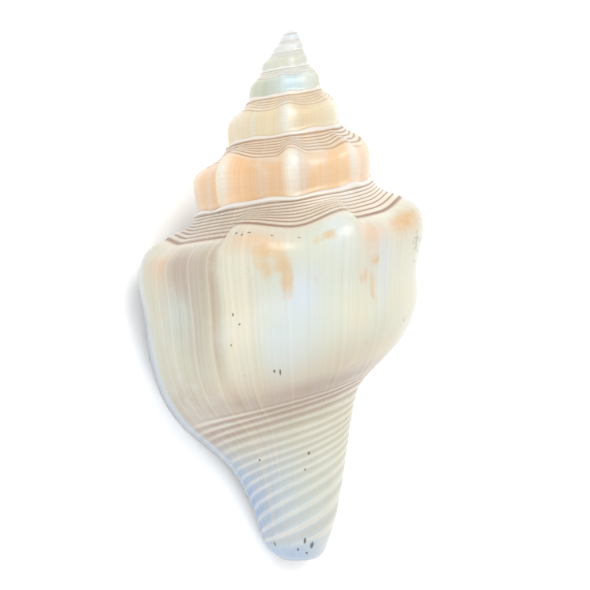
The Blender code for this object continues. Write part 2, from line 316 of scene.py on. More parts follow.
def cord_strength(turn, rows):
    """How deep the grooves are, mm on the last whorl."""
    at = cord_rows(turn, rows)
    ramp = RAMP_DEPTH * (1 - ease(rows, 2.9 + 0.6 * spread(turn), 3.5 + 1.1 * spread(turn)))
    base = BASE_DEPTH * ease(at, 8.7, 9.3) + CANAL_MORE * ease(at, 10.2, 11.2)
    return ramp + base * (1 - ease(rows, 14.0, 15.0)) * (0.35 + 0.65 * ease(-turn, 0.0, 0.12))


def growth_lines(turn, rows):
    """The fine steps that former lips leave, about -1 to 1."""
    waver = 0.25 * np.sin(rows * 1.7 + 9 * turn)
    total = 0
    for i, per_turn in enumerate(LINES_PER_TURN):
        total = total + np.sin(2 * math.pi * per_turn * turn + 2.3 * i + waver * (1 + i))
    swell = 0.55 + 0.45 * math.sin(2 * math.pi * 3.3 * turn + 1.1)
    return total / len(LINES_PER_TURN) * swell


def relief(turn, rows):
    """How far the surface stands out from the smooth outline, mm."""
    phase = cord_phase(turn, rows)
    from_groove = np.abs(phase - np.round(phase))
    width = 0.16 + 0.16 * ease(rows, 7.5, 8.5)
    groove = np.exp(-(from_groove / width) ** 2)
    cords = cord_strength(turn, rows) * (1 - groove)
    seam_cord = SEAM_CORD * np.sin(math.pi * np.clip(phase / 1.1, 0, 1))
    lines = LINE_DEPTH * growth_lines(turn, rows)
    lines = lines * (0.3 + 0.7 * ease(rows, 2.5, 4.5)) * ease(rows, 0.1, 0.6)
    return (cords + seam_cord + lines) * growth(turn)


# %% [markdown]
# ## The outer outline
# Now the rows, the curve and the relief come together. Each whorl has to start exactly where the
# whorl before it ends, or a crack shows along the seam, so the first point is worked out from the
# outline one turn earlier. The seam wanders a little, as a real one does. At the lip the last edge
# turns outward.

# %% The outer outline at a turn
LIP_FLARE = 1.3             # mm by which the last edge turns outward
FLARE_TURNS = 0.016         # turns over which it does so
FLARE_CURVE = 1.2


def seam_wander(turn):
    """The seam is never quite even, rows."""
    return 0.06 * math.sin(2 * math.pi * 5.3 * turn) + 0.035 * math.sin(2 * math.pi * 12.7 * turn + 1)


def outer_points(turn, rows, with_relief=True):
    """The outer face at a turn: distance from the axis and depth, mm."""
    points = rows_at(turn)
    near_seam = np.exp(-((rows - SEAM_ROW) / 0.6) ** 2)
    moved = rows + seam_wander(turn) * near_seam
    in_first_whorl = turn < 1 - WHORLS - 0.001
    if in_first_whorl:
        points[0] = (0.0, APEX_DEPTH)
    else:
        points[0] = seam_point(turn - 1)
    curve, outward = through_rows(points, moved)
    if with_relief:
        curve = curve + outward * relief(turn, rows)[:, None]
    if rows[0] == 0:
        curve[0] = points[0]
    flare = LIP_FLARE * max(0.0, 1 + turn / FLARE_TURNS) ** FLARE_CURVE
    fade = np.clip(np.minimum((rows - 2) / 2, (BASE_ROW - rows) / 3), 0, 1)
    curve[:, 0] += flare * fade
    return curve


def seam_point(turn):
    """Where the next whorl sits on this one."""
    row = np.array([float(SEAM_ROW)])
    curve, outward = through_rows(rows_at(turn), row + seam_wander(turn))
    return (curve + outward * relief(turn, row)[:, None])[0]


print("the last whorl sits on the one before at, mm:", np.round(seam_point(-1), 1))

# %% [markdown]
# ## The inside of the wall
# Behind the lip the wall is thin, and the animal thickens it from inside as it grows on. The inner
# face is the smooth outline moved inward. It starts in the corner where the wall meets the whorl
# before it, and further in the hollow draws up out of the canal and ends on the pillar.

# %% The inner outline at a turn
LIP_WALL = 1.3              # mm, at the lip
INNER_WALL = 2.2            # mm, behind it
WALL_GROWS_OVER = 0.06      # turns from the one to the other
CANAL_TURNS = 0.75          # how far back from the lip the hollow reaches
CLOSING_TURNS = 0.35        # turns over which it then draws up out of the canal
PILLAR_GAP = 0.3            # mm left of the hollow beside the pillar, where it ends


def inner_points(turn, rows, corner_index):
    """The inner face at a turn: distance from the axis and depth, mm."""
    outer = outer_points(turn, rows, with_relief=False)
    before = outer_points(turn - 1, rows, with_relief=False)
    before[corner_index] = outer_points(turn - 1, rows)[corner_index]
    wall = LIP_WALL + (INNER_WALL - LIP_WALL) * min(1.0, -turn / WALL_GROWS_OVER)
    closing = ease(-turn, CANAL_TURNS - CLOSING_TURNS, CANAL_TURNS)
    along = np.gradient(outer, axis=0)
    across = np.column_stack([along[:, 1], -along[:, 0]])
    spots = outer - across / np.linalg.norm(across, axis=1)[:, None] * wall
    to_corner = (np.clip(1 - rows / 2, 0, 1) ** 2)[:, None]
    spots = spots * (1 - to_corner) + before[corner_index] * to_corner
    foot = before[np.searchsorted(rows, BASE_ROW)]
    to_foot = (np.clip((rows - SEAM_ROW) / (BASE_ROW - SEAM_ROW), 0, 1) ** 2 * closing)[:, None]
    upper = spots * (1 - to_foot) + foot * to_foot
    lower = spots * (1 - closing) + (before + np.array([PILLAR_GAP, 0])) * closing
    spots = np.where((rows <= BASE_ROW)[:, None], upper, lower)
    spots[0] = before[corner_index]
    return spots


# %% [markdown]
# ## Growing the shell
# The outline is a chain of vertices. One extrusion of its edges makes the next step of growth, and
# the new chain is moved to its place by the rule. Every vertex is marked with its turn, its row,
# whether it is inside the mouth, and how high the knob is there, because the paint follows growth
# and not space. The marks go into UV maps, which each face corner keeps for itself where two whorls
# meet.

# %% Steps and vertices along the outline
STEPS_PER_TURN = 144        # a multiple of four, so that whorls meet vertex to vertex
LIP_STEPS = 4               # extrusions round the edge of the lip

# closest on the ramp and the base, where the cords are, and wide on the smooth sides
ramp_rows = np.linspace(0, RAMP_GROOVES[-1], 46)
side_rows = np.linspace(RAMP_GROOVES[-1], SEAM_ROW, 13)[1:]
corner_rows = SEAM_ROW + np.array([0.07, 0.14, 0.21, 0.28])
belly_rows = np.linspace(corner_rows[-1], 8.7, 11)[1:]
base_rows = np.arange(8.76, 14.7, 0.08)
tip_rows = np.array([14.8, 15.0, 15.2, 15.4, 15.6, 15.8, 16.0])
rows_to_seam = np.concatenate([ramp_rows, side_rows])
all_rows = np.concatenate([rows_to_seam, corner_rows, belly_rows, base_rows, tip_rows])
seam = len(rows_to_seam) - 1
corner = seam + LIP_STEPS
print("vertices along the outline:", len(all_rows))

# %% A chain of vertices
bm = bmesh.new()
mark_turn = bm.verts.layers.float.new("turn")
mark_row = bm.verts.layers.float.new("row")
mark_inside = bm.verts.layers.float.new("inside")


def mark(vert, turn, row, inside):
    vert[mark_turn] = turn
    vert[mark_row] = row
    vert[mark_inside] = inside


def new_chain(turn, rows, places, inside):
    """A chain to start from, which has edges and no faces."""
    verts = []
    for row, spot in zip(rows, places):
        vert = bm.verts.new(spot)
        mark(vert, turn, row, inside)
        verts.append(vert)
    for pair in zip(verts, verts[1:]):
        bm.edges.new(pair)
    return verts


# %% One step of growth
def grow(chain, turn, rows, places, inside):
    """Extrude a chain once and move the new chain to its places."""
    edges = [bm.edges.get(pair) for pair in zip(chain, chain[1:])]
    made = bmesh.ops.extrude_edge_only(bm, edges=edges)["geom"]
    fresh = {item for item in made if isinstance(item, bmesh.types.BMVert)}
    following = []
    for vert, row, spot in zip(chain, rows, places):
        twin = next(e.other_vert(vert) for e in vert.link_edges if e.other_vert(vert) in fresh)
        twin.co = spot
        mark(twin, turn, row, inside)
        following.append(twin)
    return following


def join_chains(chain, other):
    """Bridge two chains with one row of faces."""
    edges = [bm.edges.get(pair) for pair in zip(chain, chain[1:])]
    edges += [bm.edges.get(pair) for pair in zip(other, other[1:])]
    bmesh.ops.bridge_loops(bm, edges=edges)


def turns_between(start, end):
    """The moments of growth after the start, up to the end."""
    count = round(abs(end - start) * STEPS_PER_TURN)
    return [start + (end - start) * (i + 1) / count for i in range(count)]


# %% [markdown]
# The spire is a chain that reaches only from seam to seam, because the next whorl covers the rest.
# It grows from the apex to the last turn but one.

# %% The spire
spire = new_chain(-WHORLS, rows_to_seam, place(-WHORLS, outer_points(-WHORLS, rows_to_seam)), 0)
for turn in turns_between(-WHORLS, -1):
    spire = grow(spire, turn, rows_to_seam, place(turn, outer_points(turn, rows_to_seam)), 0)
print("spire:", len(bm.faces), "faces")

# %% [markdown]
# The mouth looks in on the whorl before it and on the pillar, which are the far side of the hollow.
# They grow as a second chain. At the place of the lip, a turn earlier, both chains are joined, and
# from there the whole outline grows one more turn to the lip.

# %% The far side of the hollow, and the last whorl
deep = -1 - CANAL_TURNS
pillar_rows = all_rows[corner:]
deep_side = new_chain(deep, pillar_rows, place(deep, outer_points(deep, all_rows)[corner:]), 1)
chain = deep_side
for turn in turns_between(deep, -1):
    chain = grow(chain, turn, pillar_rows, place(turn, outer_points(turn, all_rows)[corner:]), 1)

behind = outer_points(-1, all_rows)
middle = new_chain(-1, all_rows[seam + 1:corner], place(-1, behind[seam + 1:corner]), 0)
bm.edges.new((spire[-1], middle[0]))
bm.edges.new((middle[-1], chain[0]))
ring = spire + middle + chain
outer_bottom = [ring[-1]]
for turn in turns_between(-1, 0):
    ring = grow(ring, turn, all_rows, place(turn, outer_points(turn, all_rows)), 0)
    outer_bottom.append(ring[-1])
print("with the last whorl:", len(bm.faces), "faces")

# %% [markdown]
# At the lip the outline goes round the edge in a half circle, four extrusions on the spot, and comes
# back as the inner face of the wall. It then grows backwards in time, deep into the hollow.

# %% Round the lip and back inside
outside = outer_points(0, all_rows)
inside = inner_points(0, all_rows, corner)
half_wall = np.linalg.norm(outside - inside, axis=1) / 2 * MM
for step in range(1, LIP_STEPS + 1):
    angle = math.pi * step / LIP_STEPS
    middle_points = (outside + inside) / 2 + (outside - inside) / 2 * math.cos(angle)
    spots = place(0, middle_points) + forward(0) * (half_wall * math.sin(angle))[:, None]
    spots[0] = place(0, behind[seam + step:seam + step + 1])[0]
    ring = grow(ring, 0, all_rows, spots, step / LIP_STEPS)
inner_bottom = [ring[-1]]
for turn in turns_between(0, -CANAL_TURNS):
    ring = grow(ring, turn, all_rows, place(turn, inner_points(turn, all_rows, corner)), 1)
    inner_bottom.append(ring[-1])
print("with the inner face:", len(bm.faces), "faces")

# %% [markdown]
# What is left open is closed by bridging: the deep end of the hollow, and the rim of the canal
# between the outer and the inner face. Before the chains that lie on each other are welded, every
# face corner gets its marks, so that both whorls keep their own at a seam.

# %% Close
join_chains(deep_side, ring)
join_chains(outer_bottom[-len(inner_bottom):], inner_bottom)
print("bridged:", len(bm.faces), "faces")

# %% Mark every face corner
growth_map = bm.loops.layers.uv.new("growth")
cord_map = bm.loops.layers.uv.new("cords")
place_map = bm.loops.layers.uv.new("places")
knob_at = {}
phase_at = {}
for vert in bm.verts:
    turn, row = vert[mark_turn], vert[mark_row]
    key = round(turn, 5)
    if key not in knob_at:
        knob_at[key] = knob_height(turn)
        phase_at[key] = (cord_phase(turn, all_rows), cord_strength(turn, all_rows))
    phases, strengths = phase_at[key]
    marks = (np.interp(row, all_rows, phases), np.interp(row, all_rows, strengths))
    for loop in vert.link_loops:
        loop[growth_map].uv = (turn, row)
        loop[cord_map].uv = marks
        loop[place_map].uv = (vert[mark_inside], knob_at[key])
print("marks for", len(knob_at), "moments of growth")

# %% Weld
WELD = 0.001 * MM           # vertices closer than this are one
bmesh.ops.remove_doubles(bm, verts=bm.verts, dist=WELD)
bmesh.ops.holes_fill(bm, edges=[edge for edge in bm.edges if edge.is_boundary], sides=0)
bmesh.ops.triangulate(bm, faces=[face for face in bm.faces if len(face.verts) > 4])
bmesh.ops.recalc_face_normals(bm, faces=bm.faces)
open_edges = sum(not edge.is_manifold for edge in bm.edges)
print("closed shell:", len(bm.verts), "vertices,", len(bm.faces), "faces,", open_edges, "open edges")

# %% [markdown]
# ## Unevenness
# A grown shell is never as even as a formula. A slow, smooth noise moves the surface away from the
# axis or towards it by a few tenths of a millimetre, less on the small upper whorls. Moving along
# that one direction keeps the narrow faces at the seams from folding over.

# %% Unevenness
FULL_SIZE_FROM = 30 * MM    # distance from the axis beyond which it is at its strongest
SWELLS = ((75, 0.45), (210, 0.16))      # waves to a metre, and how far they move the surface, mm
for vert in bm.verts:
    from_axis = Vector((vert.co.x, 0, vert.co.z))
    size = min(1.0, from_axis.length / FULL_SIZE_FROM)
    slow = sum(noise.noise(vert.co * waves) * reach for waves, reach in SWELLS)
    vert.co += from_axis.normalized() * slow * size * MM
widest = max(Vector((vert.co.x, 0, vert.co.z)).length for vert in bm.verts)
print("outermost vertex, mm from the axis:", round(widest / MM, 1))

# %% [markdown]
# The shell is turned into its resting pose, centred over the origin and set down on the floor. The
# turn goes into the mesh itself, so that the object stays at the origin, unturned and unscaled.

# %% Lay it down in its place
bmesh.ops.transform(bm, matrix=rest, verts=bm.verts)
lowest = Vector([min(vert.co[i] for vert in bm.verts) for i in range(3)])
highest = Vector([max(vert.co[i] for vert in bm.verts) for i in range(3)])
middle_now = (lowest + highest) / 2
shift = Vector((-middle_now.x, -middle_now.y, -lowest.z))
bmesh.ops.translate(bm, vec=shift, verts=bm.verts)
mesh = bpy.data.meshes.new("conch")
bm.to_mesh(mesh)
bm.free()
mesh.shade_smooth()
conch = bpy.data.objects.new("conch", mesh)
bpy.context.scene.collection.objects.link(conch)
print("conch:", len(mesh.polygons), "faces")

# %% [markdown]
# ## Camera, floor and light
# The camera looks square at the back of the shell, so it is placed in the growth frame and carried
# through the same two turns as the shell. The floor is pale paper. A large cool world fills the
# shadows, a warm key from above and beyond the apex draws the relief, and a cool fill from the left
# lightens the side that would be dark.

# %% Camera
CAMERA_DISTANCE = 0.519     # m
FRAME_WIDTH = 0.1558        # m, what the camera takes in at the shell's axis
AIM_DEPTH = 72.1            # mm below the apex along the axis
LEAN = 0.81                 # degrees by which the axis leans in the camera's view
APEX_TOWARD = 4.0           # degrees by which the apex leans towards the camera
SENSOR = 36.0               # mm
lens = bpy.data.cameras.new("camera")
lens.sensor_width = SENSOR
lens.lens = SENSOR * CAMERA_DISTANCE / FRAME_WIDTH
camera = bpy.data.objects.new("camera", lens)
bpy.context.scene.collection.objects.link(camera)
aim = (Matrix.Translation((0, -AIM_DEPTH * MM, 0)) @ Matrix.Rotation(math.radians(-APEX_TOWARD), 4, "X")
       @ Matrix.Rotation(math.radians(-LEAN), 4, "Z"))
camera.matrix_world = Matrix.Translation(shift) @ rest @ aim @ Matrix.Translation((0, 0, CAMERA_DISTANCE))
bpy.context.scene.camera = camera
print("lens, mm:", round(lens.lens, 1))

# %% Floor
bpy.ops.mesh.primitive_plane_add(size=3.0)
floor = bpy.context.object
floor.name = "floor"
paper = bpy.data.materials.new("floor")
paper.use_nodes = True
paper_surface = paper.node_tree.nodes["Principled BSDF"]
paper_surface.inputs["Base Color"].default_value = (0.95, 0.95, 0.95, 1)
paper_surface.inputs["Roughness"].default_value = 0.9
floor.data.materials.append(paper)
print("floor:", floor.dimensions.x, "m wide")

# %% Light
world = bpy.data.worlds.new("studio")
world.use_nodes = True
sky = world.node_tree.nodes["Background"]
sky.inputs["Color"].default_value = (0.97, 0.985, 1.0, 1)
sky.inputs["Strength"].default_value = 1.2
bpy.context.scene.world = world


def soft_light(name, place_at, size, power, colour):
    """A square light that faces the origin: its side in metres, its power in watts."""
    light = bpy.data.lights.new(name, "AREA")
    light.size = size
    light.energy = power
    light.color = colour
    lamp = bpy.data.objects.new(name, light)
    lamp.location = place_at
    lamp.rotation_euler = (-Vector(place_at)).to_track_quat("-Z", "Y").to_euler()
    bpy.context.scene.collection.objects.link(lamp)


soft_light("key", (0.08, 0.32, 0.84), 0.5, 4.0, (1.0, 0.97, 0.91))
soft_light("fill", (-0.80, -0.30, 0.50), 0.9, 2.4, (0.86, 0.93, 1.0))
bpy.context.scene.view_settings.view_transform = "Standard"
print("lights:", [light.name for light in bpy.data.lights])

# %% [markdown]
# ## Painting by growth
# The animal lays its colours down at the lip, so on the shell they follow turns and rows. First we
# brush the broad colours on each face corner: one for the sides and one for the ramp of each whorl,
# others down the base and canal, and soft dabs where the last whorl has patches of its own. Some of
# those dabs, and a few other marks, are painted shade and painted highlights. Every colour is given
# as it should look under our lights, and one factor takes out how much they brighten it, so they can
# stay strong enough to keep the floor white.

# %% A colour under our lights
LIGHT_HERE = 1.64           # how much brighter our lights make a colour than it is on a screen


def screen(red, green, blue):
    """A colour as it should look under our lights, 0 to 255, in the linear values that paint needs."""
    values = np.array([red, green, blue]) / 255
    return np.where(values > 0.04045, ((values + 0.055) / 1.055) ** 2.4, values / 12.92) / LIGHT_HERE


# %% Colours along the growth
# turn, and the colour of a whorl's side there
SIDE = [(-6.75, screen(232, 238, 246)), (-4.9, screen(230, 233, 230)), (-4.2, screen(222, 224, 206)),
        (-3.5, screen(200, 200, 172)), (-3.37, screen(226, 234, 222)), (-3.26, screen(200, 226, 236)),
        (-3.14, screen(202, 206, 180)), (-3.0, screen(214, 216, 194)), (-2.9, screen(230, 212, 178)),
        (-2.41, screen(246, 232, 202)), (-2.3, screen(234, 211, 168)), (-2.13, screen(237, 220, 182)),
        (-2.0, screen(234, 208, 164)), (-1.9, screen(240, 200, 152)), (-1.31, screen(248, 204, 156)),
        (-1.19, screen(232, 190, 142)), (-1.14, screen(254, 198, 138)), (-0.95, screen(236, 204, 162)),
        (-0.6, screen(236, 230, 210)), (-0.3, screen(226, 230, 212)), (0.0, screen(214, 208, 184))]
# turn, and the colour of a whorl's ramp there
RAMP = [(-6.75, screen(232, 238, 246)), (-4.2, screen(228, 232, 226)), (-3.2, screen(226, 232, 226)),
        (-2.9, screen(232, 210, 176)), (-1.9, screen(226, 200, 164)), (-1.0, screen(226, 194, 162)),
        (-0.6, screen(255, 244, 230)), (-0.42, screen(250, 236, 216)), (-0.28, screen(230, 212, 188)),
        (-0.15, screen(214, 198, 178)), (0.0, screen(192, 180, 168))]
# row, and the colour of the last whorl's base and canal there
DOWN = [(6.0, screen(222, 228, 216)), (7.4, screen(224, 222, 202)), (8.2, screen(222, 212, 192)),
        (8.8, screen(198, 178, 160)), (9.9, screen(200, 180, 160)), (10.7, screen(212, 204, 180)),
        (11.4, screen(222, 220, 194)), (12.6, screen(222, 226, 206)), (14.2, screen(216, 226, 220)),
        (16.0, screen(206, 216, 232))]
# knob crests of the upper whorls: worn pale shell, whitened further with a painted highlight
KNOB_CREST_PALE_AND_HIGHLIGHT = screen(252, 250, 236)
# turns back from the lip, and the colour inside the mouth there
WALL_INSIDE = [(0.0, screen(236, 232, 222)), (0.12, screen(244, 214, 184)), (0.6, screen(238, 186, 146)),
               (1.8, screen(224, 164, 124))]
print("places with a colour of their own:", len(SIDE), len(RAMP), len(DOWN), len(WALL_INSIDE))


# %% Two brushes
def along(table, position):
    """Colours between the entries of a table."""
    places = [entry[0] for entry in table]
    colours = np.array([entry[1] for entry in table])
    return np.column_stack([np.interp(position, places, colours[:, i]) for i in range(3)])


def blend(colour, other, amount):
    """Paint another colour over one, each corner by its own amount."""
    amount = np.asarray(amount)[:, None]
    return colour * (1 - amount) + other * amount


# %% [markdown]
# ### Patches of its own, and painted light and shade
# The last whorl is large enough for patches that follow no rule: peach and apricot along the shoulder,
# and milky blue on the worn panels. Other dabs are painted light and shade: grey painted shade in the
# hollows between the first knobs, brown painted shade in the crease beside the steep flank of the
# second knob and low on the left of the body, a painted cream highlight along that knob's edge, a
# painted ivory highlight on the right of the last ramp, and painted cool shade, lavender, down the canal.
# Ochre stains and greenish grime are kept apart from the colours, because nodes will give them
# ragged edges. A patch is a soft oval in degrees and rows, and later patches lie over earlier ones.

# %% Colours of the patches
PEACH = screen(242, 200, 160)
PALE = screen(220, 234, 244)
# GREY also serves as painted shade between the knobs, and CREAM and IVORY as painted highlights
GREY = screen(190, 170, 152)
CREAM = screen(248, 234, 200)
SHADE = screen(176, 148, 124)
APRICOT = screen(240, 196, 152)
RED = screen(196, 122, 112)
MIST = screen(208, 220, 212)
ICE = screen(224, 233, 246)
OLIVE = screen(200, 196, 170)
TAN = screen(216, 192, 164)
# lavender: painted cool shade for the canal
CANAL_COOL_SHADE = screen(152, 184, 226)
IVORY = screen(255, 246, 234)

# %% Dabs
# degrees back from the lip, row, half width in degrees, half height in rows, colour, strength
# beside the second knob's steep flank, and those at 24 to 52 degrees and rows 8 to 9 painted shade
# between the first two knobs, the SHADE ones at 51 to 55.5 degrees painted shade in the crease
# knob's edge, the IVORY one a painted highlight on the right of the ramp, and the lavender ones
# low on the left of the body; the narrow CREAM one at 63.5 degrees is a painted highlight along that
# painted cool shade down the canal
# painted light and shade among the dabs: the GREY ones at 39 and 47 degrees are painted shade
DABS = [
    (25, 4.6, 7, 0.7, APRICOT, 0.9), (39, 4.9, 11, 1.6, GREY, 1.0), (47, 6.6, 8, 1.4, GREY, 0.45),
    (10, 8.4, 16, 0.8, OLIVE, 0.8), (24, 9.0, 24, 0.7, SHADE, 0.5), (55.5, 5.0, 2.4, 1.7, SHADE, 0.85),
    (55.5, 6.9, 2.2, 0.9, SHADE, 0.6), (63.5, 6.2, 2.2, 2.0, CREAM, 0.7), (74, 4.3, 12, 0.6, PEACH, 0.8),
    (92, 6.05, 8, 0.6, ICE, 0.75), (84, 7.0, 12, 1.0, PALE, 0.5), (107, 4.2, 5, 1.0, PALE, 0.5),
    (124, 4.5, 8, 0.9, PEACH, 0.9), (133, 5.4, 7, 1.1, ICE, 0.5), (148, 4.5, 13, 0.6, APRICOT, 0.8),
    (118, 6.7, 9, 0.8, CREAM, 0.5), (150, 6.6, 12, 1.0, CREAM, 0.4), (34, 6.1, 9, 0.5, MIST, 0.7),
    (25, 7.6, 20, 1.0, OLIVE, 0.5), (60, 8.3, 26, 0.5, TAN, 0.5), (130, 8.0, 20, 0.4, CREAM, 0.4),
    (10, 13.0, 70, 1.9, CANAL_COOL_SHADE, 1.0), (60, 15.3, 60, 1.2, CANAL_COOL_SHADE, 0.75), (60, 2.6, 26, 1.3, GREY, 0.5),
    (115, 7.9, 20, 0.6, TAN, 0.4), (66, 6.6, 8, 1.3, CREAM, 0.5), (76, 1.5, 14, 0.8, GREY, 0.5),
    (126, 0.9, 20, 0.9, IVORY, 1.0), (51, 4.8, 3, 1.2, SHADE, 0.5), (27, 8.2, 12, 0.5, SHADE, 0.5),
    (52, 8.8, 14, 0.5, SHADE, 0.55), (107, 9.0, 14, 0.5, SHADE, 0.35), (208, 0.0, 20, 0.22, RED, 0.9),
    (178, 0.0, 12, 0.15, RED, 0.5),
]

# %% Stains and grime
# the same places, and how strong the ochre stain is
STAINS = [
    (82, 4.9, 7, 0.75, 0.75), (86, 5.7, 2.6, 0.45, 1.1), (76, 4.8, 4, 0.4, 0.55),
    (74.4, 5.9, 5, 0.12, 0.6), (76, 5.35, 4, 0.15, 0.6), (102, 4.45, 6, 0.3, 1.0),
    (98.4, 5.8, 1.8, 0.14, 0.8), (126, 5.5, 3, 0.2, 0.8), (119, 5.75, 4, 0.25, 1.0),
    (125, 6.2, 2.0, 0.4, 1.0), (122, 7.5, 2.6, 0.28, 0.8), (146, 4.3, 12, 0.8, 1.0),
    (22.5, 6.03, 5, 0.2, 0.8), (26, 4.7, 4, 0.5, 0.5), (152, 6.8, 4, 0.2, 0.6),
    (118, 9.4, 12, 0.3, 0.5), (45, 8.9, 16, 0.3, 0.35), (70, 7.6, 7, 0.25, 0.5),
    (120, 11.6, 14, 0.3, 0.4), (62, 4.6, 3, 0.6, 0.45),
]
# and how strong the grey-green grime is
GRIME = [
    (158, 5.4, 9, 0.9, 0.9), (150, 7.4, 10, 0.5, 0.8), (160, 14.1, 12, 0.6, 0.9),
    (100, 14.6, 9, 0.2, 0.7), (66, 4.1, 5, 0.4, 0.5), (112, 5.0, 3, 1.0, 0.4), (146, 9.5, 20, 0.6, 0.5),
]


def dab(back, row, spot):
    """A soft oval, 1 in the middle."""
    return np.exp(-((back - spot[0]) / spot[2]) ** 2 - ((row - spot[1]) / spot[3]) ** 2)


# %% Read the marks back
count = len(mesh.loops)


def marks_of(name):
    """Both marks of a UV map, for every face corner."""
    flat = np.empty(count * 2, dtype=np.float32)
    mesh.uv_layers[name].data.foreach_get("uv", flat)
    return flat.reshape(count, 2).astype(float).T


turn, row = marks_of("growth")
phase, strength = marks_of("cords")
inside, knob = marks_of("places")
back = -360 * turn
outer = 1 - np.clip(inside, 0, 1)
last = ease(turn, -1.02, -0.98)     # 1 on the last whorl only
print("corners to paint:", count)

# %% Brush the colours on
# the pale, unpigmented new shell along the lip, with painted cool shade giving its blue tint
LIP_MARGIN_AND_COOL_SHADE = screen(214, 226, 242)    # the new, unworn shell along the lip
colour = along(SIDE, turn)
# the crests of the upper knobs are whitened: worn pale shell and a painted highlight on top
on_crest = np.clip(knob, 0, 1) ** 4 * np.exp(-((row - 4.8) / 1.5) ** 2)
colour = blend(colour, KNOB_CREST_PALE_AND_HIGHLIGHT, 0.9 * on_crest * (1 - ease(turn, -1.0, -0.6)))
colour = blend(colour, along(RAMP, turn), 1 - ease(row, 2.7, 3.6 + 1.2 * spread(turn)))
colour = blend(colour, along(DOWN, row), ease(row, 6.2, 8.2) * last)
for spot in DABS:
    colour = blend(colour, spot[4], spot[5] * dab(back, row, spot) * last)
# painted cool shade, lavender, over the canal next to the lip
colour = blend(colour, CANAL_COOL_SHADE, 0.5 * ease(turn, -0.10, -0.02) * ease(row, 9.5, 12.0))
colour = blend(colour, LIP_MARGIN_AND_COOL_SHADE, 0.85 * ease(turn, -0.036, -0.030) * ease(row, 3.6, 4.4))
colour = blend(colour, along(WALL_INSIDE, -turn), ease(inside, 0.3, 0.9))
stain = sum(spot[4] * dab(back, row, spot) for spot in STAINS)
grime = sum(spot[4] * dab(back, row, spot) for spot in GRIME)
print("stained corners:", int((stain > 0.3).sum()), "and grimy ones:", int((grime > 0.3).sum()))

# %% Store them on the mesh
tint = mesh.color_attributes.new("tint", "FLOAT_COLOR", "CORNER")
tint.data.foreach_set("color", np.column_stack([colour, np.ones(count)]).astype(np.float32).ravel())
extra = mesh.color_attributes.new("extra", "FLOAT_COLOR", "CORNER")
values = np.column_stack([np.clip(stain, 0, 1) * outer, np.clip(grime, 0, 1) * outer, outer, np.ones(count)])
extra.data.foreach_set("color", values.astype(np.float32).ravel())
print("colour layers:", [layer.name for layer in mesh.color_attributes])

# %% [markdown]
# ## The surface
# The broad colours now get their detail from nodes. Brown lines lie in the grooves. Thin growth
# lines cross them, each a slightly different shade, because the animal's food and the weather
# changed while it grew. Ochre stains have ragged edges, old pits hold dark dirt, and the polish is
# better on the knobs and the sides than in the grooves.

# %% Node tools
skin = bpy.data.materials.new("shell_surface")
skin.use_nodes = True
nodes = skin.node_tree.nodes
links = skin.node_tree.links
surface = nodes["Principled BSDF"]


def feed(socket, value):
    """Link a socket to another, or set it to a value or a colour."""
    if isinstance(value, bpy.types.NodeSocket):
        links.new(value, socket)
    elif isinstance(value, (np.ndarray, tuple)):
        socket.default_value = (*value, 1.0)[:4]
    else:
        socket.default_value = value


def calc(kind, *values):
    """One Math node."""
    node = nodes.new("ShaderNodeMath")
    node.operation = kind
    for socket, value in zip(node.inputs, values):
        feed(socket, value)
    return node.outputs[0]


def smooth(value, start, end):
    """0 at start and 1 at end; the other way round if start is the larger."""
    node = nodes.new("ShaderNodeMapRange")
    node.interpolation_type = "SMOOTHSTEP"
    feed(node.inputs["Value"], value)
    node.inputs["From Min"].default_value = min(start, end)
    node.inputs["From Max"].default_value = max(start, end)
    node.inputs["To Min"].default_value = 0.0 if start < end else 1.0
    node.inputs["To Max"].default_value = 1.0 if start < end else 0.0
    return node.outputs["Result"]


# %% Tools for colours and patterns
def mix(amount, colour_a, colour_b):
    """From colour a at 0 to colour b at 1."""
    node = nodes.new("ShaderNodeMix")
    node.data_type = "RGBA"
    feed(node.inputs["Factor"], amount)
    feed(node.inputs[6], colour_a)
    feed(node.inputs[7], colour_b)
    return node.outputs[2]


def marks(name):
    """Both marks of a UV map."""
    source = nodes.new("ShaderNodeUVMap")
    source.uv_map = name
    split = nodes.new("ShaderNodeSeparateXYZ")
    links.new(source.outputs["UV"], split.inputs["Vector"])
    return split.outputs["X"], split.outputs["Y"]


def brushed(name):
    """A colour layer that was brushed on the mesh."""
    node = nodes.new("ShaderNodeAttribute")
    node.attribute_name = name
    return node.outputs["Color"]


def streaks_along(across, scale, detail=2.0, wave=0.0):
    """Streaks that change along one mark only."""
    node = nodes.new("ShaderNodeTexNoise")
    node.noise_dimensions = "1D"
    feed(node.inputs["W"], calc("MULTIPLY_ADD", across, scale, wave))
    node.inputs["Scale"].default_value = 1.0
    node.inputs["Detail"].default_value = detail
    return node.outputs[0]


def clouds(scale, detail=3.0, roughness=0.55, vector=None):
    """Soft noise in space, or along a vector of its own."""
    node = nodes.new("ShaderNodeTexNoise")
    links.new(vector if vector else where, node.inputs["Vector"])
    node.inputs["Scale"].default_value = scale
    node.inputs["Detail"].default_value = detail
    node.inputs["Roughness"].default_value = roughness
    return node.outputs[0]


# %% The marks and layers that the nodes read
turn_mark, row_mark = marks("growth")
phase_mark, strength_mark = marks("cords")
broad = brushed("tint")
split_extra = nodes.new("ShaderNodeSeparateColor")
links.new(brushed("extra"), split_extra.inputs["Color"])
stain_mark, grime_mark, outer_mark = (split_extra.outputs[i] for i in range(3))
where = nodes.new("ShaderNodeTexCoord").outputs["Object"]

